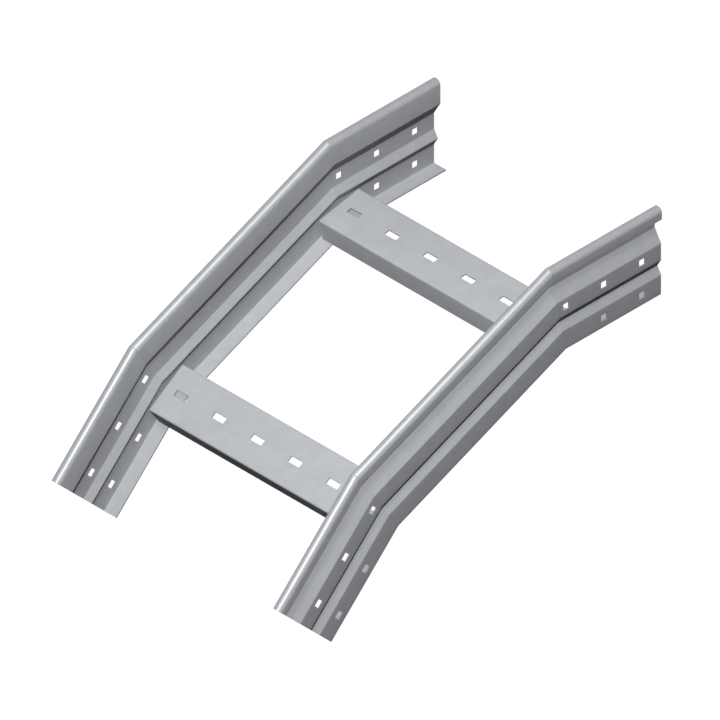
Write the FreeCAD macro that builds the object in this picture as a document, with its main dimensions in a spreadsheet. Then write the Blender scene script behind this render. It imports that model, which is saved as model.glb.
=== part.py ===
"""Outside vertical bend of a 300 mm cable ladder, turning 45 degrees down in two mitres.

Frame: the cables enter at y = 0 and run toward -Y, then down. +X is the right-hand
side rail, +Z is up. The origin lies midway between the rails, on the underside of the
flanges, at the open end of the horizontal length. All sizes are millimetres, degrees.
"""
import FreeCAD, Part

import math
import os

import Sketcher

# Driving sizes: name, value, meaning
SIZES = [
    ("tray_width", 300.0, "width over the outer faces of the two rail webs"),
    ("bend_angle", 45.0, "whole turn of the run, half of it at each mitre"),
    ("end_length", 124.5, "open end to mitre, along the flange underside"),
    ("middle_length", 238.5, "mitre to mitre, along the flange underside"),
    ("sheet", 1.5, "thickness of the strip that rails and rungs are formed from"),
    ("bend_inside", 0.5, "inside radius of every fold"),
    ("rail_height", 99.5, "flange underside to the top of the curled rim"),
    ("flange_width", 17.0, "web outer face to the flange tip"),
    ("groove_start", 23.1, "flange underside to the lower edge of the groove"),
    ("groove_height", 16.8, "height of the mouth of the groove in the web"),
    ("fold_slope", 30.0, "lean of the groove and shoulder faces from the web"),
    ("shoulder_start", 58.9, "flange underside to the foot of the shoulder"),
    ("shoulder_depth", 8.3, "how far the shoulder brings the upper web inward"),
    ("rim_width", 11.0, "width over the curled rim"),
    ("rim_lip", 7.4, "straight lip of the rim below its half round"),
    ("bolt_hole", 7.5, "side of the square holes for the splice bolts"),
    ("hole_pitch", 50.0, "spacing of the splice holes along the rail"),
    ("hole_margin", 25.0, "open end of the rail to the first splice holes"),
    ("lower_row", 12.0, "flange underside to the lower row of holes"),
    ("mitre_weld", 1.2, "width of the weld seam across a rail at a mitre"),
    ("rung_width", 54.0, "width of a rung over its two walls"),
    ("rung_depth", 24.0, "height of a rung"),
    ("rung_gap", 3.5, "free space between a rung end and the rail web"),
    ("slot_length", 15.0, "length of a rung slot, across the tray"),
    ("slot_width", 6.5, "width of a rung slot"),
    ("slot_corner", 1.0, "corner radius of a rung slot"),
    ("slot_pitch", 50.0, "spacing of the rung slots"),
    ("rung_weld", 3.0, "leg of the fillet welds under the rung ends"),
    ("cut_margin", 5.0, "how far trimming cuts run past the metal"),
]

# Expressions that several pieces share
HALF_WIDTH = "sizes.tray_width / 2"
MITRE_TURN = "sizes.bend_angle / 2"
MITRE_HALF = "sizes.bend_angle / 4"
LEAN = f"tan({MITRE_HALF})"
HOLE_WEB_MIDDLE = "(sizes.groove_start + sizes.groove_height + sizes.shoulder_start) / 2"
RUNG_FOOT = (f"(sizes.sheet / cos({MITRE_HALF})"
             f" - (sizes.rung_width / 2 - sizes.sheet) * {LEAN})")
RUNG_LENGTH = "(sizes.tray_width - 2 * sizes.sheet - 2 * sizes.rung_gap)"
SLOT_COUNT = f"(floor(({RUNG_LENGTH} - sizes.slot_length) / sizes.slot_pitch) + 1)"

# Where each length of the run begins, as (y, z) of the flange underside
FIRST_MITRE = ("-sizes.end_length", "0")
MIDDLE_CENTRE = (f"-sizes.end_length - sizes.middle_length / 2 * cos({MITRE_TURN})",
                 f"-sizes.middle_length / 2 * sin({MITRE_TURN})")
SECOND_MITRE = (f"-sizes.end_length - sizes.middle_length * cos({MITRE_TURN})",
                f"-sizes.middle_length * sin({MITRE_TURN})")
LOWER_END = (f"{SECOND_MITRE[0]} - sizes.end_length * cos(sizes.bend_angle)",
             f"{SECOND_MITRE[1]} - sizes.end_length * sin(sizes.bend_angle)")

VECTOR = FreeCAD.Vector
ORIGIN_POINT = (-1, 1)
START, END, CENTRE = range(1, 4)

doc = FreeCAD.newDocument("cable_ladder_bend")
sheet = doc.addObject("Spreadsheet::Sheet", "sizes")
for row, (alias, size, meaning) in enumerate(SIZES, start=1):
    sheet.set(f"A{row}", meaning)
    sheet.set(f"B{row}", str(size))
    sheet.setAlias(f"B{row}", alias)
doc.recompute()


def number(expression):
    """Value that an expression on the sheet has now"""
    return float(sheet.evalExpression(expression))


def origin_plane(body, role):
    """One of the body's own three planes"""
    return next(item for item in body.Origin.OriginFeatures if item.Role == role)


def new_body(name, place, turn):
    """Body whose frame lies at (y, z) = place in the run, turned by an angle about X"""
    body = doc.addObject("PartDesign::Body", name)
    body.Label = name
    body.Placement = FreeCAD.Placement(VECTOR(0, 0, 0), FreeCAD.Rotation(VECTOR(1, 0, 0), 1))
    body.setExpression("Placement.Base.y", place[0])
    body.setExpression("Placement.Base.z", place[1])
    body.setExpression("Placement.Rotation.Angle", turn)
    return body


def new_sketch(body, name, role):
    """Empty sketch on one of the body's own planes"""
    sketch = body.newObject("Sketcher::SketchObject", name)
    sketch.AttachmentSupport = (origin_plane(body, role), [""])
    sketch.MapMode = "FlatFace"
    return sketch


def constrain(sketch, kind, *where, expression=None):
    """Add a constraint, driven by the sheet when it has an expression"""
    if expression is None:
        return sketch.addConstraint(Sketcher.Constraint(kind, *where))
    index = sketch.addConstraint(Sketcher.Constraint(kind, *where, number(expression)))
    sketch.setExpression(f"Constraints[{index}]", expression)
    return index


def fix_point(sketch, geometry, end, across, up):
    """Fix a point of the sketch by its two coordinates"""
    constrain(sketch, "DistanceX", *ORIGIN_POINT, geometry, end, expression=across)
    constrain(sketch, "DistanceY", *ORIGIN_POINT, geometry, end, expression=up)


def fixed_corner(sketch, across, up):
    """Construction point where two faces would meet if their fold were sharp"""
    point = Part.Point(VECTOR(number(across), number(up), 0))
    geometry = sketch.addGeometry(point, True)
    fix_point(sketch, geometry, START, across, up)
    return geometry


def line(sketch, start, end):
    """Straight edge between two points"""
    return sketch.addGeometry(Part.LineSegment(VECTOR(*start, 0), VECTOR(*end, 0)))


def arc(sketch, centre, start, end, leftward):
    """Arc from start to end about a centre, with the pair of ends in travel order"""
    radius = math.dist(centre, start)
    angles = [math.atan2(y - centre[1], x - centre[0]) for x, y in (start, end)]
    if not leftward:
        angles.reverse()
    circle = Part.Circle(VECTOR(*centre, 0), VECTOR(0, 0, 1), radius)
    geometry = sketch.addGeometry(Part.ArcOfCircle(circle, angles[0], angles[1]))
    return (geometry, START, END) if leftward else (geometry, END, START)


def unit(start, end):
    """Direction from one point to the next"""
    length = math.dist(start, end)
    return ((end[0] - start[0]) / length, (end[1] - start[1]) / length)


def sheet_face(sketch, corners, side, radii, curl=None):
    """One face of a folded strip: straight faces joined by tangent fold arcs.

    corners are sharp corners in travel order. radii are the fold radii on this face, one
    for each inner corner, as expressions. curl closes the strip in a half round about a
    centre point, followed by a straight lip that ends at a given height.
    Returns the straight edges in travel order, and with a curl its (half round, lip) last.
    """
    count = len(corners) - 1
    ways = [unit(corners[i], corners[i + 1]) for i in range(count)]
    starts = [corners[0]]
    ends = []
    folds = []
    for i in range(1, count):
        before, after = ways[i - 1], ways[i]
        cross = before[0] * after[1] - before[1] * after[0]
        turn = math.asin(cross)
        radius = number(radii[i - 1])
        reach = radius * math.tan(abs(turn) / 2)
        start = (corners[i][0] - reach * before[0], corners[i][1] - reach * before[1])
        end = (corners[i][0] + reach * after[0], corners[i][1] + reach * after[1])
        toward = math.copysign(radius, turn)
        centre = (start[0] - toward * before[1], start[1] + toward * before[0])
        ends.append(start)
        starts.append(end)
        folds.append((centre, start, end, turn > 0))
    ends.append(corners[-1])
    faces = [line(sketch, starts[i], ends[i]) for i in range(count)]
    for i, (centre, start, end, leftward) in enumerate(folds):
        fold, entry, leave = arc(sketch, centre, start, end, leftward)
        constrain(sketch, "Tangent", faces[i], END, fold, entry)
        constrain(sketch, "Tangent", fold, leave, faces[i + 1], START)
        constrain(sketch, "Radius", fold, expression=radii[i])
    if curl is None:
        return faces
    centre_point, lip_height = curl
    centre = (number(centre_point[0]), number(centre_point[1]))
    top = ends[-1]
    far = (2 * centre[0] - top[0], top[1])
    bow, entry, leave = arc(sketch, centre, top, far, side < 0)
    lip = line(sketch, far, (far[0], number(lip_height)))
    constrain(sketch, "Tangent", faces[-1], END, bow, entry)
    constrain(sketch, "Tangent", bow, leave, lip, START)
    constrain(sketch, "Vertical", lip)
    faces.append((bow, lip))
    return faces


def offset_corners(corners, shift):
    """Corners of the strip's other face, a sheet thickness to one side"""
    moved = []
    last = len(corners) - 1
    ways = [unit(corners[i], corners[i + 1]) for i in range(last)]
    for i, (x, y) in enumerate(corners):
        before = ways[max(i - 1, 0)]
        after = ways[min(i, last - 1)]
        across = (-before[1] - after[1], before[0] + after[0])
        share = 1 + before[0] * after[0] + before[1] * after[1]
        moved.append((x + shift * across[0] / share, y + shift * across[1] / share))
    return moved


def folded_strip(sketch, corners, side, curl=None):
    """Closed, fully constrained section of a folded strip of sheet.

    corners gives the sharp corners of the reference face as pairs of expressions. side is
    +1 when the metal lies to the left of travel and -1 when it lies to the right.
    """
    first = [(number(x), number(y)) for x, y in corners]
    second = offset_corners(first, side * number("sizes.sheet"))
    tight, wide = [], []
    for i in range(1, len(first) - 1):
        before, after = unit(first[i - 1], first[i]), unit(first[i], first[i + 1])
        toward_metal = (before[0] * after[1] - before[1] * after[0]) * side > 0
        inner, outer = "sizes.bend_inside", "sizes.bend_inside + sizes.sheet"
        tight.append(outer if toward_metal else inner)
        wide.append(inner if toward_metal else outer)
    front = sheet_face(sketch, first, side, tight, curl)
    back = sheet_face(sketch, second, side, wide, curl)
    straight = len(first) - 1
    marks = [fixed_corner(sketch, x, y) for x, y in corners[1:-1]]
    for i in range(straight):
        if i > 0:
            constrain(sketch, "PointOnObject", marks[i - 1], START, front[i])
        if i < len(marks):
            constrain(sketch, "PointOnObject", marks[i], START, front[i])
        constrain(sketch, "Parallel", back[i], front[i])
        constrain(sketch, "Distance", back[i], START, front[i], expression="sizes.sheet")
    fix_point(sketch, front[0], START, *corners[0])
    close_end(sketch, (front[0], START), (back[0], START), front[0])
    if curl is None:
        fix_point(sketch, front[-1], END, *corners[-1])
        close_end(sketch, (front[-1], END), (back[-1], END), front[-1])
        return
    constrain(sketch, "Vertical", front[straight - 1])
    centre = fixed_corner(sketch, *curl[0])
    for bow, _ in (front[-1], back[-1]):
        constrain(sketch, "Coincident", bow, CENTRE, centre, START)
    lips = front[-1][1], back[-1][1]
    constrain(sketch, "DistanceY", *ORIGIN_POINT, lips[0], END, expression=curl[1])
    close_end(sketch, (lips[0], END), (lips[1], END), lips[0])


def close_end(sketch, first, second, square_to):
    """Cut edge of the sheet, square to its face"""
    points = [sketch.getPoint(*place) for place in (first, second)]
    cut = line(sketch, (points[0].x, points[0].y), (points[1].x, points[1].y))
    constrain(sketch, "Coincident", first[0], first[1], cut, START)
    constrain(sketch, "Coincident", second[0], second[1], cut, END)
    constrain(sketch, "Perpendicular", cut, square_to)


def polygon(sketch, points):
    """Closed polygon with every corner fixed by expressions"""
    places = [(number(x), number(y)) for x, y in points]
    count = len(points)
    edges = [line(sketch, places[i], places[(i + 1) % count]) for i in range(count)]
    for i, edge in enumerate(edges):
        constrain(sketch, "Coincident", edge, END, edges[(i + 1) % count], START)
        fix_point(sketch, edge, START, *points[i])


def rectangle(sketch, middle, length, width):
    """Sharp rectangle about a middle point"""
    x, y = middle
    polygon(sketch, [(f"{x} - {length} / 2", f"{y} - {width} / 2"),
                     (f"{x} + {length} / 2", f"{y} - {width} / 2"),
                     (f"{x} + {length} / 2", f"{y} + {width} / 2"),
                     (f"{x} - {length} / 2", f"{y} + {width} / 2")])


def rounded_rectangle(sketch, middle, length, width, corner):
    """Rectangle about a middle point, with rounded corners"""
    centres = []
    for across, up in ((1, 1), (-1, 1), (-1, -1), (1, -1)):
        centres.append((f"{middle[0]} + {across} * ({length} / 2 - {corner})",
                        f"{middle[1]} + {up} * ({width} / 2 - {corner})"))
    radius = number(corner)
    arcs = []
    for quarter, (x, y) in enumerate(centres):
        circle = Part.Circle(VECTOR(number(x), number(y), 0), VECTOR(0, 0, 1), radius)
        first = quarter * math.pi / 2
        arcs.append(sketch.addGeometry(Part.ArcOfCircle(circle, first, first + math.pi / 2)))
        fix_point(sketch, arcs[-1], CENTRE, x, y)
    for quarter, bow in enumerate(arcs):
        following = arcs[(quarter + 1) % 4]
        start = sketch.getPoint(bow, END)
        end = sketch.getPoint(following, START)
        edge = line(sketch, (start.x, start.y), (end.x, end.y))
        constrain(sketch, "Tangent", bow, END, edge, START)
        constrain(sketch, "Tangent", edge, END, following, START)
        constrain(sketch, "Radius", bow, expression=corner)


def pad(body, sketch, length, symmetric=False, reverse=False):
    """Solid from a section"""
    solid = body.newObject("PartDesign::Pad", sketch.Name + "_pad")
    solid.Profile = sketch
    solid.setExpression("Length", length)
    solid.SideType = "Symmetric" if symmetric else "One side"
    solid.Reversed = reverse
    return solid


def cut_through(body, sketch):
    """Cut through all metal on both sides of the sketch"""
    cut = body.newObject("PartDesign::Pocket", sketch.Name + "_cut")
    cut.Profile = sketch
    cut.Type = "ThroughAll"
    cut.SideType = "Symmetric"
    return cut


def repeat(body, cut, axis, spacing, count, reverse=False):
    """Row of equal cuts along one of the body's axes"""
    row = body.newObject("PartDesign::LinearPattern", cut.Name + "_row")
    row.Originals = [cut]
    row.Direction = (origin_plane(body, axis), [""])
    row.Mode = "Spacing"
    row.setExpression("Offset", spacing)
    row.setExpression("Occurrences", count)
    row.Reversed = reverse
    body.Tip = row
    return row


def rail_section(body, hand):
    """Section of a side rail: flange, grooved web, shoulder and curled rim"""
    def across(inset):
        return f"{hand} * ({HALF_WIDTH} - {inset})"
    rim_height = "sizes.rail_height - sizes.rim_width / 2"
    corners = [
        (across("sizes.flange_width"), "0"),
        (across("0"), "0"),
        (across("0"), "sizes.groove_start"),
        (across("sizes.groove_height / 2 * tan(sizes.fold_slope)"),
         "sizes.groove_start + sizes.groove_height / 2"),
        (across("0"), "sizes.groove_start + sizes.groove_height"),
        (across("0"), "sizes.shoulder_start"),
        (across("sizes.shoulder_depth"),
         "sizes.shoulder_start + sizes.shoulder_depth / tan(sizes.fold_slope)"),
        (across("sizes.shoulder_depth"), rim_height),
    ]
    rim_centre = (across("(sizes.shoulder_depth + sizes.sheet - sizes.rim_width / 2)"),
                  rim_height)
    sketch = new_sketch(body, body.Name + "_section", "XZ_Plane")
    folded_strip(sketch, corners, hand, (rim_centre, f"{rim_height} - sizes.rim_lip"))
    return sketch


def trim(body, way, reach, outward, name):
    """Cut a rail section off at a mitre plane, which leans by half the mitre's turn.

    The plane meets the flange underside at y = way * reach and leans outward above it.
    outward is +1 to cut what lies beyond the plane and -1 to cut what lies before it.
    """
    low = "-sizes.cut_margin"
    high = "(sizes.rail_height + sizes.cut_margin)"
    far = f"{way} * ({reach} + {outward} * 2 * {high})"
    sketch = new_sketch(body, f"{body.Name}_{name}", "YZ_Plane")
    polygon(sketch, [(f"{way} * ({reach} + {low} * {LEAN})", low),
                     (far, low),
                     (far, high),
                     (f"{way} * ({reach} + {high} * {LEAN})", high)])
    return cut_through(body, sketch)


def splice_holes(body, run, height, name):
    """Row of square holes from the open end of a rail, as many as stay clear of the mitre"""
    sketch = new_sketch(body, f"{body.Name}_{name}", "YZ_Plane")
    rectangle(sketch, (f"{run} * sizes.hole_margin", height),
              "sizes.bolt_hole", "sizes.bolt_hole")
    cut = cut_through(body, sketch)
    mitre = f"sizes.end_length + ({height} - sizes.bolt_hole / 2) * {LEAN}"
    room = f"({mitre} - sizes.hole_margin - sizes.bolt_hole)"
    count = f"floor({room} / sizes.hole_pitch) + 1"
    return repeat(body, cut, "Y_Axis", "sizes.hole_pitch", count, reverse=run < 0)


def rail_end_length(name, hand, run, place, turn):
    """Open-ended length of a side rail with its splice holes.

    hand is +1 for the right rail. run is the way from the open end to the mitre along Y.
    """
    body = new_body(name, place, turn)
    section = rail_section(body, hand)
    length = f"sizes.end_length + sizes.rail_height * {LEAN} + sizes.cut_margin"
    pad(body, section, length, reverse=run > 0)
    trim(body, run, "sizes.end_length", 1, "mitre")
    splice_holes(body, run, HOLE_WEB_MIDDLE, "upper_holes")
    splice_holes(body, run, "sizes.lower_row", "lower_holes")
    return body


def rail_middle_length(name, hand):
    """Middle length of a side rail, mitred at both ends and set back for the welds"""
    body = new_body(name, MIDDLE_CENTRE, MITRE_TURN)
    section = rail_section(body, hand)
    length = f"sizes.middle_length + 2 * (sizes.rail_height * {LEAN} + sizes.cut_margin)"
    pad(body, section, length, symmetric=True)
    reach = f"(sizes.middle_length / 2 - sizes.mitre_weld / cos({MITRE_HALF}))"
    cut = trim(body, -1, reach, 1, "mitre")
    other = body.newObject("PartDesign::Mirrored", name + "_other_mitre")
    other.Originals = [cut]
    other.MirrorPlane = (origin_plane(body, "XZ_Plane"), [""])
    body.Tip = other
    return body


def mitre_weld(name, hand, way, place):
    """Weld seam, dressed flush, that fills the gap between two lengths of a rail"""
    body = new_body(name, place, MITRE_TURN)
    section = rail_section(body, hand)
    length = f"2 * (sizes.rail_height * {LEAN} + sizes.cut_margin)"
    pad(body, section, length, symmetric=True)
    trim(body, way, "0", 1, "end_length_side")
    trim(body, way, f"(-sizes.mitre_weld / cos({MITRE_HALF}))", -1, "middle_length_side")
    return body


def rung(name, place, turn):
    """Slotted channel, open side down, whose walls stand on the flanges over a mitre"""
    body = new_body(name, place, turn)
    section = new_sketch(body, name + "_section", "YZ_Plane")
    half, top = "sizes.rung_width / 2", f"{RUNG_FOOT} + sizes.rung_depth"
    corners = [(f"-{half}", RUNG_FOOT), (f"-{half}", top), (half, top), (half, RUNG_FOOT)]
    folded_strip(section, corners, -1)
    pad(body, section, RUNG_LENGTH, symmetric=True)
    slot = new_sketch(body, name + "_slot", "XY_Plane")
    first = f"-({SLOT_COUNT} - 1) / 2 * sizes.slot_pitch"
    rounded_rectangle(slot, (first, "0"), "sizes.slot_length", "sizes.slot_width",
                      "sizes.slot_corner")
    repeat(body, cut_through(body, slot), "X_Axis", "sizes.slot_pitch", SLOT_COUNT)
    return body


def rung_weld(name, hand, way, place, turn):
    """Fillet weld inside a rung end, between one of its walls and a rail flange"""
    body = new_body(name, place, turn)
    sketch = new_sketch(body, name + "_section", "YZ_Plane")
    length = "sizes.flange_width - sizes.sheet - sizes.rung_gap"
    start = f"{RUNG_LENGTH} / 2" if hand < 0 else f"{RUNG_LENGTH} / 2 - ({length})"
    sketch.setExpression("AttachmentOffset.Base.z", f"{hand} * ({start})")
    wall = "(sizes.rung_width / 2 - sizes.sheet)"
    toe = f"({wall} - sizes.rung_weld)"
    flange_at_toe = f"sizes.sheet / cos({MITRE_HALF}) - {toe} * {LEAN}"
    polygon(sketch, [(f"{way} * {wall}", RUNG_FOOT),
                     (f"{way} * {wall}", f"{RUNG_FOOT} + sizes.rung_weld"),
                     (f"{way} * {toe}", flange_at_toe)])
    pad(body, sketch, length)
    return body


HANDS = {"left": -1, "right": 1}
pieces = []
for side, hand in HANDS.items():
    pieces.append(rail_end_length(f"{side}_rail_upper", hand, -1, ("0", "0"), "0"))
    pieces.append(rail_middle_length(f"{side}_rail_middle", hand))
    pieces.append(rail_end_length(f"{side}_rail_lower", hand, 1, LOWER_END,
                                  "sizes.bend_angle"))
    pieces.append(mitre_weld(f"{side}_upper_mitre_weld", hand, 1, FIRST_MITRE))
    pieces.append(mitre_weld(f"{side}_lower_mitre_weld", hand, -1, SECOND_MITRE))

RUNG_SEATS = {
    "upper": (FIRST_MITRE, MITRE_HALF),
    "lower": (SECOND_MITRE, f"3 * {MITRE_HALF}"),
}
WALLS = {"front": -1, "back": 1}
for level, (place, turn) in RUNG_SEATS.items():
    pieces.append(rung(f"{level}_rung", place, turn))
    for side, hand in HANDS.items():
        for wall, way in WALLS.items():
            name = f"{level}_rung_weld_{side}_{wall}"
            pieces.append(rung_weld(name, hand, way, place, turn))

doc.recompute()
for item in doc.Objects:
    if "Invalid" in item.State or "Error" in item.State:
        raise RuntimeError(f"{item.Label} did not compute: {item.State}")
    if item.TypeId == "Sketcher::SketchObject" and not item.FullyConstrained:
        raise RuntimeError(f"{item.Label} isn't fully constrained")
    if item.TypeId in ("PartDesign::Pocket", "PartDesign::LinearPattern", "PartDesign::Mirrored"):
        if item.Shape.Volume >= item.BaseFeature.Shape.Volume:
            raise RuntimeError(f"{item.Label} cuts nothing")

os.makedirs("parts", exist_ok=True)
for piece in pieces:
    shape = piece.Shape
    if shape.isNull() or not shape.isValid() or len(shape.Solids) != 1:
        raise RuntimeError(f"{piece.Label} isn't one valid solid")
    shape.exportStep(f"parts/{piece.Label}.step")
    box = shape.BoundBox
    print(f"{piece.Label}: {shape.Volume:.0f} mm3, x {box.XMin:.1f} to {box.XMax:.1f},"
          f" y {box.YMin:.1f} to {box.YMax:.1f}, z {box.ZMin:.1f} to {box.ZMax:.1f}")
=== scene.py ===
# %% [markdown]
# # Outside bend of a cable ladder
# A cable ladder carries cables under a ceiling. This piece turns the run downward by
# 45 degrees. Its two side rails are formed from galvanised strip, cut at a slant and
# welded again, twice on each side, and a slotted channel rung stands over each of the
# two mitres. The solids already hold every size, so this file only dresses them: it
# carries the section of each strip along its run, punches the holes, and gives the
# zinc its look. Lengths are in millimetres until a mesh is made, and then in metres.

import math

import bpy
import numpy as np
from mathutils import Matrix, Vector


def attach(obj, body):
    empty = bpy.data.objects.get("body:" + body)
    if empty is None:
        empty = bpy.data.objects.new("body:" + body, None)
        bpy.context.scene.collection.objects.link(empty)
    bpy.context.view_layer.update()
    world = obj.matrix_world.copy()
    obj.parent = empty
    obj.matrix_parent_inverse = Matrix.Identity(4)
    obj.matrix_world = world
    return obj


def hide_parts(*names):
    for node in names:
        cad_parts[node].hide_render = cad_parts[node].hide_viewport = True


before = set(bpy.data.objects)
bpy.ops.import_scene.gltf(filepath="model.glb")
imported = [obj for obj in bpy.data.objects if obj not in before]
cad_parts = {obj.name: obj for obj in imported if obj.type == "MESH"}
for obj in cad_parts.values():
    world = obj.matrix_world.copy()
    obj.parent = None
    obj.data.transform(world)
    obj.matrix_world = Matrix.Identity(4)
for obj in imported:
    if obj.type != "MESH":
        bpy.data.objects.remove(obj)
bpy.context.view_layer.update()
bpy.context.scene.view_settings.view_transform = "Standard"

# %% [markdown]
# ## Camera
# The picture is a true isometric drawing: the camera looks from the front right, 45
# degrees round and 35.26 degrees up, and has no perspective. An orthographic camera
# does that. Two marks fix its frame: how many pixels a millimetre takes, and the pixel
# where the middle of the open end lies. An isometric view shortens every length by the
# square root of two thirds.

# %% Place the camera
PIXELS = 720
PIXELS_A_MM_OF_HEIGHT = 0.878
PIXELS_PER_MM = PIXELS_A_MM_OF_HEIGHT / math.sqrt(2 / 3)
ORIGIN_PIXEL = (547.11, 229.14)
CAMERA_DISTANCE = 3
CLIP_END = 30

toward_camera = Vector((1, -1, 1)).normalized()
picture_right = Vector((1, 1, 0)).normalized()
picture_up = toward_camera.cross(picture_right)
shift_right = (PIXELS / 2 - ORIGIN_PIXEL[0]) / PIXELS_PER_MM / 1000
shift_up = (ORIGIN_PIXEL[1] - PIXELS / 2) / PIXELS_PER_MM / 1000
middle = picture_right * shift_right + picture_up * shift_up

camera_data = bpy.data.cameras.new("isometric_camera")
camera_data.type = "ORTHO"
camera_data.ortho_scale = PIXELS / PIXELS_PER_MM / 1000
camera_data.clip_end = CLIP_END
camera = bpy.data.objects.new("isometric_camera", camera_data)
camera.location = middle + toward_camera * CAMERA_DISTANCE
camera.rotation_euler = toward_camera.to_track_quat("Z", "Y").to_euler()
bpy.context.collection.objects.link(camera)
bpy.context.scene.camera = camera
print("The picture is", round(camera_data.ortho_scale, 4), "m wide about",
      tuple(round(value, 4) for value in middle))

# %% [markdown]
# ## Colours and nodes
# A colour is written as it would be in a drawing program, as an sRGB hex value, and
# one function turns it into the linear light that a shader works in. A second one adds
# a node with its settings and its links, so that each material below reads as a list.


# %% Two helpers for materials
def linear(hex_colour):
    """Linear RGBA of an sRGB hex value.

    Each channel c of 0 to 1 becomes c / 12.92 below 0.04045, and elsewhere
    ((c + 0.055) / 1.055) to the power 2.4.
    """
    channels = np.array([int(hex_colour[i:i + 2], 16) for i in (1, 3, 5)]) / 255
    curve = ((channels + 0.055) / 1.055) ** 2.4
    return (*np.where(channels <= 0.04045, channels / 12.92, curve).tolist(), 1.0)


def add_node(tree, kind, inputs=None, **settings):
    """Add a node, set its properties, and give each input a value or a link"""
    made = tree.nodes.new(kind)
    for name, value in settings.items():
        setattr(made, name, value)
    for name, value in (inputs or {}).items():
        if isinstance(value, bpy.types.NodeSocket):
            tree.links.new(value, made.inputs[name])
        else:
            made.inputs[name].default_value = value
    return made


def new_material(name):
    """Material with an empty node tree"""
    material = bpy.data.materials.new(name)
    material.use_nodes = True
    material.node_tree.nodes.clear()
    return material


# %% [markdown]
# ## Floor and light
# The drawing has no ground and a white background. The floor lies a long way under the
# bend, which hangs in the air in use, and is a plain pale surface. Where the camera or
# a reflection looks at the floor or the world, a glow brings it up to white, and every
# other ray finds a pale floor and an almost dark world, so that the lamps alone light
# the bend. The floor still takes the bend's shadow.

# %% Floor and world
LIT_BY_LAMPS = "#C8C9CA"
FLOOR_GLOW = 0.97
FLOOR_DEPTH = 4.0
FLOOR_HALF = 14.0
AMBIENT = 0.015
WHITE = (1, 1, 1, 1)


def seen_directly(tree):
    """Value that is 1 for rays of the camera, of reflections and of clear glass"""
    path = add_node(tree, "ShaderNodeLightPath")
    either = add_node(tree, "ShaderNodeMath", {
        0: path.outputs["Is Camera Ray"], 1: path.outputs["Is Glossy Ray"]}, operation="MAXIMUM")
    return add_node(tree, "ShaderNodeMath", {
        0: either.outputs[0], 1: path.outputs["Is Transmission Ray"]}, operation="MAXIMUM").outputs[0]


pale_floor = new_material("pale_matt_floor")
tree = pale_floor.node_tree
glow = add_node(tree, "ShaderNodeMath", {0: seen_directly(tree), 1: FLOOR_GLOW}, operation="MULTIPLY")
lit = add_node(tree, "ShaderNodeBsdfDiffuse", {"Color": linear(LIT_BY_LAMPS)})
white = add_node(tree, "ShaderNodeEmission", {"Color": WHITE, "Strength": glow.outputs[0]})
both = add_node(tree, "ShaderNodeAddShader", {0: lit.outputs[0], 1: white.outputs[0]})
add_node(tree, "ShaderNodeOutputMaterial", {"Surface": both.outputs[0]})

corners = np.array([(-1, -1, 0), (1, -1, 0), (1, 1, 0), (-1, 1, 0)]) * FLOOR_HALF
floor_mesh = bpy.data.meshes.new("floor")
floor_mesh.from_pydata((corners - (0, 0, FLOOR_DEPTH)).tolist(), [], [(0, 1, 2, 3)])
floor_mesh.materials.append(pale_floor)
floor = bpy.data.objects.new("floor", floor_mesh)
bpy.context.collection.objects.link(floor)

world = bpy.data.worlds.new("studio")
bpy.context.scene.world = world
world.use_nodes = True
tree = world.node_tree
tree.nodes.clear()
ambient = add_node(tree, "ShaderNodeBackground", {"Color": WHITE, "Strength": AMBIENT})
backdrop = add_node(tree, "ShaderNodeBackground", {"Color": WHITE, "Strength": 1.0})
choice = add_node(tree, "ShaderNodeMixShader", {
    0: seen_directly(tree), 1: ambient.outputs[0], 2: backdrop.outputs[0]})
add_node(tree, "ShaderNodeOutputWorld", {"Surface": choice.outputs[0]})

# %% [markdown]
# The drawing is lit by one lamp, high up and near the camera. A face is as bright as its
# lean toward that lamp makes it, and nothing throws a shadow on anything else, not even
# the curl of the rim on the web under it. Its place was worked out from the greys of
# nine kinds of face, for a matt surface. Two soft boxes stand there, three metres off, so
# that near and far faces get the same light. Most of it comes from an open box, whose
# light passes what stands in its way, as in the drawing. The rest comes from a plain one,
# so that the floor keeps the bend's shadow and the folds keep some depth. A wider, weaker
# box faces them from behind and below, exactly opposite the camera, so it lights only
# what the picture hides: the back and the underside. It gives no glints, because theirs
# would fray the outline of each curl.

# %% Lamps
TARGET = Vector((0, -0.24, -0.02))
KEY_DIRECTION = (0.34, -0.46, 0.82)
KEY_DISTANCE, KEY_SIZE = 3.0, 0.7
BACK_DISTANCE, BACK_SIZE = 1.8, 0.8


def soft_box(name, direction, distance, size, watts, shadows=True):
    """Square lamp that stands off the bend in a direction and faces it.

    distance and size are in metres. Cameras don't see the lamp itself, because some
    views look past its place. Without shadows, a face gets its light whatever stands in
    between.
    """
    data = bpy.data.lights.new(name, "AREA")
    data.shape = "SQUARE"
    data.size = size
    data.energy = watts
    data.use_shadow = shadows
    lamp = bpy.data.objects.new(name, data)
    away = Vector(direction).normalized()
    lamp.location = TARGET + away * distance
    lamp.rotation_euler = away.to_track_quat("Z", "Y").to_euler()
    lamp.visible_camera = False
    bpy.context.collection.objects.link(lamp)
    return lamp


soft_box("key_box", KEY_DIRECTION, KEY_DISTANCE, KEY_SIZE, 30)
soft_box("open_box", KEY_DIRECTION, KEY_DISTANCE, KEY_SIZE, 118, shadows=False)
back_box = soft_box("back_box", -toward_camera, BACK_DISTANCE, BACK_SIZE, 60)
back_box.visible_glossy = False
print("Lamps:", len(bpy.data.lights))

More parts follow.
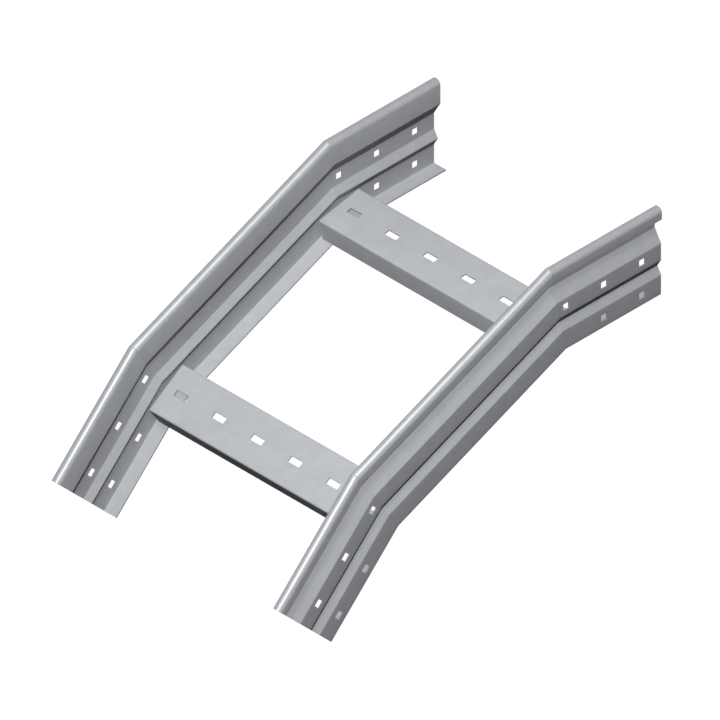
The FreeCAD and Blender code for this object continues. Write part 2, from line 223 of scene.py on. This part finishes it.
# %% [markdown]
# ## Galvanised strip
# The rails and rungs are formed cold from steel strip that was dipped in zinc at the
# mill. The zinc sets in flat crystals, the spangle, which a light skin pass at the mill
# dulls. It is a soft grey metal, slightly blue, whose crystals each reflect a little
# differently. The pattern follows the strip, so it is laid out on the strip's own UV
# map: one unit is a metre, across the strip and along it. Rolls and folding dies leave
# fine lines along the strip, which are much finer than a pixel, so they are drawn
# about a millimetre apart, just coarse enough to show. Bright zinc would be all metal,
# but this skin has dulled and its flat faces look matt in the picture, so only a small
# share of it is metallic. Along the curl of the rim the rolls have burnished it, and
# there a light line runs down the lower lengths: near that line the share is larger.
# The lengths in the next cell are in metres.

# %% Material of the strip
SPANGLE = 0.011
RAGGED = 0.004
BLOOM = 0.045
ROLL_LINE, ROLL_LINE_RUN = 0.0012, 0.09
RELIEF = 0.00006
GLOSS_SPREAD = 0.03
METALLIC, BURNISHED = 0.02, 0.62
CURL_REACH = 0.008


def galvanised_strip(name, dark, light, roughness, curl=None):
    """Zinc-coated strip: spangle in colour and gloss, roll lines in a shallow bump.

    curl is the place across the strip, in metres, where it was burnished. The metallic
    share falls smoothly from BURNISHED there to METALLIC at CURL_REACH on each side.
    """
    material = new_material(name)
    tree = material.node_tree
    strip = add_node(tree, "ShaderNodeUVMap", uv_map="strip")
    place = strip.outputs["UV"]
    warp = add_node(tree, "ShaderNodeTexNoise", {"Vector": place, "Scale": 1 / SPANGLE, "Detail": 3.0})
    offset = add_node(tree, "ShaderNodeVectorMath", {
        0: warp.outputs["Color"], 1: (RAGGED, RAGGED, 0)}, operation="MULTIPLY")
    ragged = add_node(tree, "ShaderNodeVectorMath", {0: place, 1: offset.outputs[0]}, operation="ADD")
    crystals = add_node(tree, "ShaderNodeTexVoronoi", {
        "Vector": ragged.outputs[0], "Scale": 1 / SPANGLE}, feature="F1")
    tone = add_node(tree, "ShaderNodeSeparateColor", {"Color": crystals.outputs["Color"]})
    bloom = add_node(tree, "ShaderNodeTexNoise", {
        "Vector": place, "Scale": 1 / BLOOM, "Detail": 4.0, "Roughness": 0.6})
    mixed = add_node(tree, "ShaderNodeMix", {
        0: 0.5, 2: tone.outputs["Red"], 3: bloom.outputs["Fac"]}, data_type="FLOAT")
    colour = add_node(tree, "ShaderNodeValToRGB", {"Fac": mixed.outputs[0]})
    colour.color_ramp.elements[0].position = 0.25
    colour.color_ramp.elements[0].color = linear(dark)
    colour.color_ramp.elements[1].position = 0.75
    colour.color_ramp.elements[1].color = linear(light)
    gloss = add_node(tree, "ShaderNodeMapRange", {
        "Value": tone.outputs["Green"],
        "To Min": roughness - GLOSS_SPREAD, "To Max": roughness + GLOSS_SPREAD})
    stretch = add_node(tree, "ShaderNodeMapping", {
        "Vector": place, "Scale": (1 / ROLL_LINE, 1 / ROLL_LINE_RUN, 1)})
    lines = add_node(tree, "ShaderNodeTexNoise", {
        "Vector": stretch.outputs[0], "Scale": 1.0, "Detail": 2.0})
    relief = add_node(tree, "ShaderNodeMath", {
        0: lines.outputs["Fac"], 1: tone.outputs["Blue"], 2: 0.7}, operation="MULTIPLY_ADD")
    bump = add_node(tree, "ShaderNodeBump", {
        "Height": relief.outputs[0], "Strength": 0.35, "Distance": RELIEF})
    metallic = METALLIC
    if curl is not None:
        across = add_node(tree, "ShaderNodeSeparateXYZ", {"Vector": place})
        aside = add_node(tree, "ShaderNodeMath", {
            0: across.outputs["X"], 1: curl}, operation="SUBTRACT")
        away = add_node(tree, "ShaderNodeMath", {0: aside.outputs[0]}, operation="ABSOLUTE")
        metallic = add_node(tree, "ShaderNodeMapRange", {
            "Value": away.outputs[0], "From Max": CURL_REACH, "To Min": BURNISHED, "To Max": METALLIC},
            interpolation_type="SMOOTHSTEP").outputs[0]
    shader = add_node(tree, "ShaderNodeBsdfPrincipled", {
        "Base Color": colour.outputs["Color"], "Metallic": metallic, "Specular IOR Level": 0.0,
        "Roughness": gloss.outputs[0], "Normal": bump.outputs["Normal"]})
    add_node(tree, "ShaderNodeOutputMaterial", {"Surface": shader.outputs[0]})
    return material


SATIN = 0.42
rung_zinc = galvanised_strip("galvanised_rung_strip", "#999B9F", "#9D9FA3", SATIN)

# %% [markdown]
# Where the strip was sheared or punched, the cut shows bare steel, with a little zinc
# drawn over it by the blade. It is darker than the faces and has none of their blue. Its
# grain is drawn about a millimetre coarse, because the real one is too fine to show.

# %% Material of the cut edges
SHEAR_GRAIN = 0.0009
cut_steel = new_material("sheared_steel_edge")
tree = cut_steel.node_tree
place = add_node(tree, "ShaderNodeTexCoord").outputs["Object"]
grain = add_node(tree, "ShaderNodeTexNoise", {"Vector": place, "Scale": 1 / SHEAR_GRAIN, "Detail": 3.0})
colour = add_node(tree, "ShaderNodeValToRGB", {"Fac": grain.outputs["Fac"]})
colour.color_ramp.elements[0].color = linear("#727273")
colour.color_ramp.elements[1].color = linear("#8A8A8B")
shader = add_node(tree, "ShaderNodeBsdfPrincipled", {
    "Base Color": colour.outputs["Color"], "Metallic": METALLIC,
    "Specular IOR Level": 0.0, "Roughness": 0.5})
add_node(tree, "ShaderNodeOutputMaterial", {"Surface": shader.outputs[0]})

# %% [markdown]
# The weld metal was ground flush and sprayed with zinc afterwards, so it is duller than
# the strip, with a faint ripple left across the seam about every two millimetres.

# %% Material of the welds
RIPPLE, RIPPLE_DEPTH = 0.002, 0.0002
zinc_spray = new_material("zinc_sprayed_weld")
tree = zinc_spray.node_tree
place = add_node(tree, "ShaderNodeTexCoord").outputs["Object"]
grit = add_node(tree, "ShaderNodeTexNoise", {"Vector": place, "Scale": 1 / RIPPLE, "Detail": 4.0})
colour = add_node(tree, "ShaderNodeValToRGB", {"Fac": grit.outputs["Fac"]})
colour.color_ramp.elements[0].color = linear("#919397")
colour.color_ramp.elements[1].color = linear("#9D9FA3")
bump = add_node(tree, "ShaderNodeBump", {
    "Height": grit.outputs["Fac"], "Strength": 0.5, "Distance": RIPPLE_DEPTH})
shader = add_node(tree, "ShaderNodeBsdfPrincipled", {
    "Base Color": colour.outputs["Color"], "Metallic": METALLIC,
    "Specular IOR Level": 0.0, "Roughness": 0.55, "Normal": bump.outputs["Normal"]})
add_node(tree, "ShaderNodeOutputMaterial", {"Surface": shader.outputs[0]})

# %% [markdown]
# ## Section of a strip
# A folded strip is a chain of straight faces with a small round at each fold. Both its
# faces are worked out together, point for point, so that the metal has the same
# thickness everywhere and each pair of points can later be moved to the same mitre. A
# solidify modifier would also give the thickness, but its offset would leave the
# mitre planes, and the lengths would no longer meet.

# %% Folding a strip
SHEET = 1.5
FOLD_INSIDE = 0.5
ARC_STEP = math.radians(10)


def arc_points(centre, start, sweep):
    """Points from start round a centre through an angle: centre + turn(angle) * (start - centre)"""
    angles = np.linspace(0, sweep, max(2, math.ceil(abs(sweep) / ARC_STEP) + 1))
    cosines, sines = np.cos(angles), np.sin(angles)
    x, y = start - centre
    return centre + np.stack([x * cosines - y * sines, x * sines + y * cosines], axis=1)


def folded_section(corners, marks):
    """Both faces of a folded strip whose metal lies to the left of travel.

    At a fold that turns by a, the sharp corner gives way to an arc of radius r, which
    starts r * tan(a / 2) before the corner. r is the outside radius on the face that is
    outside the fold, and the inside radius on the other. The back face has its corners a
    sheet further left, so each of its points answers one on the front face. marks adds
    points at given distances from the start of a straight face, by face number.
    """
    corners = np.asarray(corners, float)
    ways = np.diff(corners, axis=0)
    ways /= np.linalg.norm(ways, axis=1, keepdims=True)
    lefts = np.stack([-ways[:, 1], ways[:, 0]], axis=1)
    before, after = np.vstack([lefts[:1], lefts]), np.vstack([lefts, lefts[-1:]])
    share = 1 + np.sum(before * after, axis=1, keepdims=True)
    faces = []
    for metal, shift in ((1, 0.0), (-1, SHEET)):
        sharp = corners + shift * (before + after) / share
        chain = [sharp[:1]]
        for i, way in enumerate(ways):
            chain += [corners[i:i + 1] + along * way + shift * lefts[i] for along in marks.get(i, ())]
            if i + 1 < len(ways):
                turn = math.asin(way[0] * ways[i + 1][1] - way[1] * ways[i + 1][0])
                radius = FOLD_INSIDE + (SHEET if turn * metal > 0 else 0)
                start = sharp[i + 1] - radius * math.tan(abs(turn) / 2) * way
                chain.append(arc_points(start + math.copysign(radius, turn) * lefts[i], start, turn))
        chain.append(sharp[-1:])
        faces.append(np.vstack(chain))
    return faces


# %% [markdown]
# ## Carrying a section along a run
# A rail length is its section carried along the run. Each row of points is the section
# at one station. The last row doesn't lie square across the rail but on the mitre
# plane, which leans outward with height, so its distance along the run grows with the
# height of each point. Holes are quads left out of the grid on both faces, with walls
# put in round them. Each point also gets its place on the flattened strip, across it
# and along it, which becomes the UV map.


# %% Carry, punch and close
def carried_strip(faces, stations, holes=(), fields=()):
    """Points, quads, uv, cut marks and face number of each point, for a strip carried along a run.

    faces are the two (n, 2) chains of the section, as (across, height). stations gives the
    (rows, n) distances along the run for the heights of a chain. holes are blocks of
    quads to leave out, as (first row, last row, first column, last column). fields are
    such blocks with an outline, as (along, across from the first column) pairs, to which
    a ring of quads leads from the block's edge. Points that no quad uses are dropped.
    """

    def wall(first, second):
        """Quads between two chains of points that answer each other"""
        return np.stack([first[:-1], second[:-1], second[1:], first[1:]], axis=-1)

    grids = []
    for chain in faces:
        along = stations(chain[:, 1])
        across, height = (np.broadcast_to(part, along.shape) for part in chain.T)
        grids.append(np.stack([across, along, height], axis=-1))
    points = np.stack(grids)
    number = np.arange(points[..., 0].size).reshape(points.shape[:3])
    developed = np.concatenate([[0], np.cumsum(np.linalg.norm(np.diff(faces[0], axis=0), axis=1))])
    uv = np.stack([np.broadcast_to(developed, points.shape[:3]), points[..., 1]], axis=-1)
    kept = np.ones(np.array(number.shape[1:]) - 1, bool)
    for top, bottom, left, right, *_ in (*holes, *fields):
        kept[top:bottom, left:right] = False
    front, back = number
    solid = [np.stack([g[:-1, :-1], g[:-1, 1:], g[1:, 1:], g[1:, :-1]], axis=-1)[kept] for g in number]
    solid[1] = solid[1][:, ::-1]
    cuts = [wall(front[0], back[0]), wall(back[-1], front[-1]),
            wall(back[:, 0], front[:, 0]), wall(front[:, -1], back[:, -1])]
    for top, bottom, left, right in holes:
        cuts += [wall(back[top, left:right + 1], front[top, left:right + 1]),
                 wall(front[bottom, left:right + 1], back[bottom, left:right + 1]),
                 wall(front[top:bottom + 1, left], back[top:bottom + 1, left]),
                 wall(back[top:bottom + 1, right], front[top:bottom + 1, right])]
    points, uv = [points.reshape(-1, 3)], [uv.reshape(-1, 2)]
    layer = [np.repeat([0, 1], number[0].size)]
    for top, bottom, left, right, outline in fields:
        rings = []
        for face, grid in enumerate((front, back)):
            edge = np.concatenate([grid[bottom, right:left:-1], grid[bottom:top:-1, left],
                                   grid[top, left:right], grid[top:bottom, right]])
            start = sum(map(len, points))
            inner = start + np.arange(len(outline))
            across, height = faces[face][left]
            level = np.full(len(outline), height)
            points.append(np.stack([across - outline[:, 1], outline[:, 0], level], axis=1))
            uv.append(np.stack([developed[left] + outline[:, 1], outline[:, 0]], axis=1))
            layer.append(np.full(len(outline), face))
            edge, inner = np.append(edge, edge[0]), np.append(inner, inner[0])
            ring = wall(edge, inner)
            solid.append(ring if face else ring[:, ::-1])
            rings.append(inner)
        cuts.append(wall(rings[1], rings[0]))
    quads = np.vstack(solid + cuts)
    is_cut = np.arange(len(quads)) >= sum(map(len, solid))
    used, renumbered = np.unique(quads, return_inverse=True)
    points, uv, layer = np.vstack(points)[used], np.vstack(uv)[used], np.concatenate(layer)[used]
    return points, renumbered.reshape(-1, 4), uv, is_cut, layer


def turned_out(points, quads):
    """The quads with their faces outward.

    A sixth of the sum of a . (b x c) over the triangles is the volume, which is above
    zero where they do.
    """
    a, b, c, d = (points[quads[:, k]] for k in range(4))
    volume = np.sum(a * (np.cross(b, c) + np.cross(c, d))) / 6
    return quads if volume > 0 else quads[:, ::-1]


def set_in_run(points, place, turn, hand=1):
    """Local points in the whole: mirrored for the left hand, turned about X, and moved to (y, z)"""
    x, y, z = points.T
    c, s = math.cos(math.radians(turn)), math.sin(math.radians(turn))
    return np.stack([hand * x, place[0] + y * c - z * s, place[1] + y * s + z * c], axis=1)


# %% [markdown]
# ## Meshes of quads
# The arrays go into the mesh whole. The edges of the cuts get a bevel weight, so that a
# bevel modifier takes off just their sharpness, as a deburring brush does on the real
# pieces, while the mitres stay closed.


# %% From arrays to an object
DRESSED_EDGE = 0.18
SHARP_ANGLE = math.radians(40)


def closed_mesh(name, points, strip, materials, node, dressed, seam_rows=()):
    """Object made of quads, from points in mm and what carried_strip gives with them.

    dressed is the width in mm that the bevel takes off the edges of the cuts. Those on
    seam_rows, the rows of points where a seam joins the piece, stay sharp.
    """
    _, quads, uv, is_cut, layer = strip
    quads = turned_out(points, quads)
    mesh = bpy.data.meshes.new(name)
    mesh.vertices.add(len(points))
    mesh.vertices.foreach_set("co", (points / 1000).ravel())
    mesh.loops.add(quads.size)
    mesh.loops.foreach_set("vertex_index", quads.ravel())
    mesh.polygons.add(len(quads))
    mesh.polygons.foreach_set("loop_start", np.arange(len(quads)) * 4)
    mesh.polygons.foreach_set("material_index", is_cut.astype(int))
    for material in materials:
        mesh.materials.append(material)
    mesh.uv_layers.new(name="strip").data.foreach_set("uv", (uv[quads.ravel()] / 1000).ravel())
    mesh.update(calc_edges=True)
    mesh.shade_smooth()
    mesh.set_sharp_from_angle(angle=SHARP_ANGLE)
    edges = np.empty(len(mesh.edges) * 2, int)
    mesh.edges.foreach_get("vertices", edges)
    edges = np.sort(edges.reshape(-1, 2), axis=1)
    cut_quads = quads[is_cut]
    sides = np.stack([cut_quads, np.roll(cut_quads, -1, axis=1)], axis=-1)
    pairs = np.sort(sides.reshape(-1, 2), axis=1)
    on_cut = np.isin(edges @ [len(points), 1], pairs @ [len(points), 1])
    same_face = layer[edges[:, 0]] == layer[edges[:, 1]]
    at_seam = np.isin(edges, seam_rows).all(axis=1)
    weight = mesh.attributes.new("bevel_weight_edge", "FLOAT", "EDGE")
    weight.data.foreach_set("value", (on_cut & same_face & ~at_seam).astype(float))
    piece = bpy.data.objects.new(name, mesh)
    bpy.context.collection.objects.link(piece)
    if dressed:
        bevel = piece.modifiers.new("dressed_edges", "BEVEL")
        bevel.width = dressed / 1000
        bevel.segments = 2
        bevel.limit_method = "WEIGHT"
        bevel.harden_normals = True
    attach(piece, "root")
    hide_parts(node)
    return piece


# %% [markdown]
# ## Side rails
# On the real ladder each rail starts as flat strip and leaves the rolls with a flange
# to carry the rungs, a web with a stiffening groove, a shoulder and a curled rim that
# spares hands and cables. The corners below are that section, from the tip of the
# flange to the foot of the curl. The curl is a half round added by itself, because it
# turns too far for a fold, and its straight lip comes last.

# %% Section of a rail
HALF_WIDTH = 150.0
TURN = 45.0
LEAN = math.tan(math.radians(TURN / 4))
END_LENGTH, MIDDLE_LENGTH = 124.5, 238.5
RAIL_HEIGHT, FLANGE = 99.5, 17.0
GROOVE_START, GROOVE_HEIGHT, FOLD_SLOPE = 23.1, 16.8, math.radians(30)
SHOULDER_START, SHOULDER_DEPTH = 58.9, 8.3
RIM_WIDTH, RIM_LIP = 11.0, 7.4
HOLE, PITCH, MARGIN, LOW_ROW = 7.5, 50.0, 25.0, 12.0
WELD = 1.2

groove_top = GROOVE_START + GROOVE_HEIGHT
rows_of_holes = (LOW_ROW, (groove_top + SHOULDER_START) / 2)
upper_web = HALF_WIDTH - SHOULDER_DEPTH
rim_height = RAIL_HEIGHT - RIM_WIDTH / 2
rail_corners = [
    (HALF_WIDTH - FLANGE, 0), (HALF_WIDTH, 0), (HALF_WIDTH, GROOVE_START),
    (HALF_WIDTH - GROOVE_HEIGHT / 2 * math.tan(FOLD_SLOPE), GROOVE_START + GROOVE_HEIGHT / 2),
    (HALF_WIDTH, groove_top), (HALF_WIDTH, SHOULDER_START),
    (upper_web, SHOULDER_START + SHOULDER_DEPTH / math.tan(FOLD_SLOPE)), (upper_web, rim_height)]
hole_edges = {1: [rows_of_holes[0] + s * HOLE / 2 for s in (-1, 1)],
              4: [rows_of_holes[1] + s * HOLE / 2 - groove_top for s in (-1, 1)]}

rail_faces = []
for chain in folded_section(rail_corners, hole_edges):
    curl = arc_points(np.array([upper_web - SHEET + RIM_WIDTH / 2, rim_height]), chain[-1], -math.pi)
    rail_faces.append(np.vstack([chain, curl[1:], curl[-1] - [0, RIM_LIP]]))
print("Rail section:", len(rail_faces[0]), "points a face, up to", rail_faces[1].max(axis=0).round(2))

way_across = np.cumsum(np.linalg.norm(np.diff(rail_faces[0], axis=0), axis=1))
curl_top = way_across[np.argmax(rail_faces[0][:, 1]) - 1] / 1000
rail_zinc = galvanised_strip("galvanised_rail_strip", "#9A9CA0", "#9EA0A4", SATIN, curl_top)
print("The curl lies", round(curl_top * 1000, 1), "mm across a strip of", round(way_across[-1], 1))

# %% [markdown]
# The stations of a length are a function of height, because of the lean of the mitres.
# Near the mitre, a row that would pass it low down on the rail is held back a little
# behind it, so that the rows never cross.


# %% Stations of the lengths
HELD_BACK = 0.4
PAST_THE_MITRE = 1000.0
LOW_HOLES, HIGH_HOLES = 2, 3


def end_stations(sign):
    """Rows of an open-ended length, from its end: the edges of the holes, then the mitre.

    The mitre lies at END_LENGTH + height * LEAN. sign turns the rows to one end or the
    other of the run.
    """
    hole_sides = [MARGIN + PITCH * k + s * HOLE / 2 for k in range(HIGH_HOLES) for s in (-1, 1)]
    edges = np.array([0.0, *hole_sides, PAST_THE_MITRE])
    hold_back = HELD_BACK * np.arange(len(edges) - 1, -1, -1)
    return lambda height: sign * np.minimum(
        edges[:, None], END_LENGTH + height * LEAN - hold_back[:, None])


def leaning_stations(low, high, leans, count=2):
    """Rows from low to high along the run, each end moved by its own lean times the height"""
    share = np.linspace(0, 1, count)[:, None]
    return lambda height: ((low + leans[0] * height * LEAN) * (1 - share)
                           + (high + leans[1] * height * LEAN) * share)


across, up = rail_faces[0].T
on_outer_web = np.isclose(across, HALF_WIDTH)
columns = [[int(np.flatnonzero(on_outer_web & np.isclose(up, row + s * HOLE / 2))[0]) for s in (-1, 1)]
           for row in rows_of_holes]
splice_holes = [(1 + 2 * k, 2 + 2 * k, *columns[row])
                for row, count in enumerate((LOW_HOLES, HIGH_HOLES)) for k in range(count)]
print("Splice holes a rail end:", len(splice_holes))

# %% [markdown]
# The two sides mirror each other, which turns a mesh inside out, and so does carrying a
# section backward. Instead of keeping count, the signed volume of each mesh tells
# whether its faces have to be turned round. The seams between the lengths are strips
# of the same section, 1.2 mm wide, in the duller zinc of the welds.

# %% Make the rails and their seams
def way(angle):
    """Direction (y, z) of the run after it has turned down by an angle, toward the open upper end"""
    return np.array([math.cos(math.radians(angle)), math.sin(math.radians(angle))])


first_mitre = -END_LENGTH * way(0)
middle_centre = first_mitre - MIDDLE_LENGTH / 2 * way(TURN / 2)
second_mitre = first_mitre - MIDDLE_LENGTH * way(TURN / 2)
lower_end = second_mitre - END_LENGTH * way(TURN)
set_back = WELD / math.cos(math.radians(TURN / 4))
reach = MIDDLE_LENGTH / 2 - set_back

rail_kinds = {
    "rail_upper": (end_stations(-1), splice_holes, (0.0, 0.0), 0.0),
    "rail_middle": (leaning_stations(-reach, reach, (-1, 1), 3), (), middle_centre, TURN / 2),
    "rail_lower": (end_stations(1), splice_holes, lower_end, TURN),
    "upper_mitre_weld": (leaning_stations(-set_back, 0, (1, 1)), (), first_mitre, TURN / 2),
    "lower_mitre_weld": (leaning_stations(0, set_back, (-1, -1)), (), second_mitre, TURN / 2),
}
for side, hand in (("left", -1), ("right", 1)):
    for kind, (stations, holes, place, turn) in rail_kinds.items():
        strip = carried_strip(rail_faces, stations, holes)
        numbers = np.arange(len(strip[0])).reshape(2, -1, len(rail_faces[0]))
        seams = numbers[:, -1:] if "middle" not in kind else numbers[:, [0, -1]]
        weld = "weld" in kind
        closed_mesh(f"dressed_{side}_{kind}", set_in_run(strip[0], place, turn, hand), strip,
                    [zinc_spray, zinc_spray] if weld else [rail_zinc, cut_steel],
                    f"{side}_{kind}",
                    0 if weld else DRESSED_EDGE, seams)
print("Rails and seams:", 2 * len(rail_kinds))

# %% [markdown]
# ## Rungs
# A rung is a strip folded twice into a channel, open side down, with a row of slots for
# cable ties in its top. It straddles a mitre of the rails, and each of its walls stands
# on the flanges of one length. The slots have rounded
# corners, which a grid of quads can't leave out by itself. So the top is cut into one
# field for each slot, and each field is filled by a ring of quads between its own
# square edge and the slot's rounded one, with the same number of points on both.

# %% Shape of a rung
RUNG_WIDTH, RUNG_DEPTH, RUNG_GAP = 54.0, 24.0, 3.5
SLOT_LENGTH, SLOT_WIDTH, SLOT_CORNER, SLOT_PITCH = 15.0, 6.5, 1.0, 50.0
STEPS_A_SIDE = 5
rung_half = RUNG_WIDTH / 2
flat_half = rung_half - SHEET - FOLD_INSIDE
rung_foot = SHEET / math.cos(math.radians(TURN / 4)) - (rung_half - SHEET) * LEAN
rung_top = rung_foot + RUNG_DEPTH
rung_reach = HALF_WIDTH - SHEET - RUNG_GAP
slot_count = math.floor((2 * rung_reach - SLOT_LENGTH) / SLOT_PITCH) + 1
slots_at = (np.arange(slot_count) - (slot_count - 1) / 2) * SLOT_PITCH

bounds = np.concatenate([[-rung_reach], slots_at[:-1] + SLOT_PITCH / 2, [rung_reach]])
steps = [np.linspace(start, end, STEPS_A_SIDE + 1)[:-1] for start, end in zip(bounds[:-1], bounds[1:])]
rung_rows = np.append(np.concatenate(steps), rung_reach)
rung_corners = [
    (rung_half, rung_foot), (rung_half, rung_top), (-rung_half, rung_top), (-rung_half, rung_foot)]
rung_faces = folded_section(
    rung_corners, {1: rung_half - flat_half + np.linspace(0, 2 * flat_half, STEPS_A_SIDE + 1)[1:-1]})
across, up = rung_faces[0].T
top_column = int(np.flatnonzero(np.isclose(across, flat_half) & np.isclose(up, rung_top))[0])


def slot_outline(centre):
    """STEPS_A_SIDE steps a side round a slot, from the middle of one corner's arc to the next.

    A corner is its centre plus SLOT_CORNER times (cos, sin) of the angle. Each side has
    the later half of one corner and the first half of the next. Pairs are (along,
    across from the field's first column).
    """
    inner = np.array([SLOT_LENGTH, SLOT_WIDTH]) / 2 - SLOT_CORNER
    corners = [(1, -1), (1, 1), (-1, 1), (-1, -1)]
    sides = []
    for quarter, (corner, following) in enumerate(zip(corners, corners[1:] + corners[:1])):
        angles = np.radians(90 * quarter - 45 + np.array([0, 22.5, 45, 45, 67.5]))
        centres = np.array([corner] * 3 + [following] * 2) * inner
        sides.append(centres + SLOT_CORNER * np.stack([np.cos(angles), np.sin(angles)], axis=1))
    along, across = np.vstack(sides).T
    return np.stack([centre + along, flat_half - across], axis=1)


# %% Make the rungs
def square_stations(height):
    """The same rows at every height, because a rung's ends are cut square"""
    return np.broadcast_to(rung_rows[:, None], (len(rung_rows), len(height)))


top_columns = (top_column, top_column + STEPS_A_SIDE)
slot_fields = [(STEPS_A_SIDE * k, STEPS_A_SIDE * (k + 1), *top_columns, slot_outline(centre))
               for k, centre in enumerate(slots_at)]
for level, place, turn in (("upper", first_mitre, TURN / 4), ("lower", second_mitre, 3 * TURN / 4)):
    strip = carried_strip(rung_faces, square_stations, fields=slot_fields)
    across_tray = strip[0][:, [1, 0, 2]]
    closed_mesh(f"dressed_{level}_rung", set_in_run(across_tray, place, turn), strip,
                [rung_zinc, cut_steel], f"{level}_rung", DRESSED_EDGE)
print("Slots a rung:", slot_count)

# %% [markdown]
# ## Rung welds
# The fillets inside the rung ends are small three-sided solids that need no other
# shape, so they stay as they are and only get the sprayed zinc of the seams.

# %% Dress the fillets and finish
for name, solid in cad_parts.items():
    if "rung_weld" in name:
        for slot in solid.material_slots:
            slot.material = zinc_spray
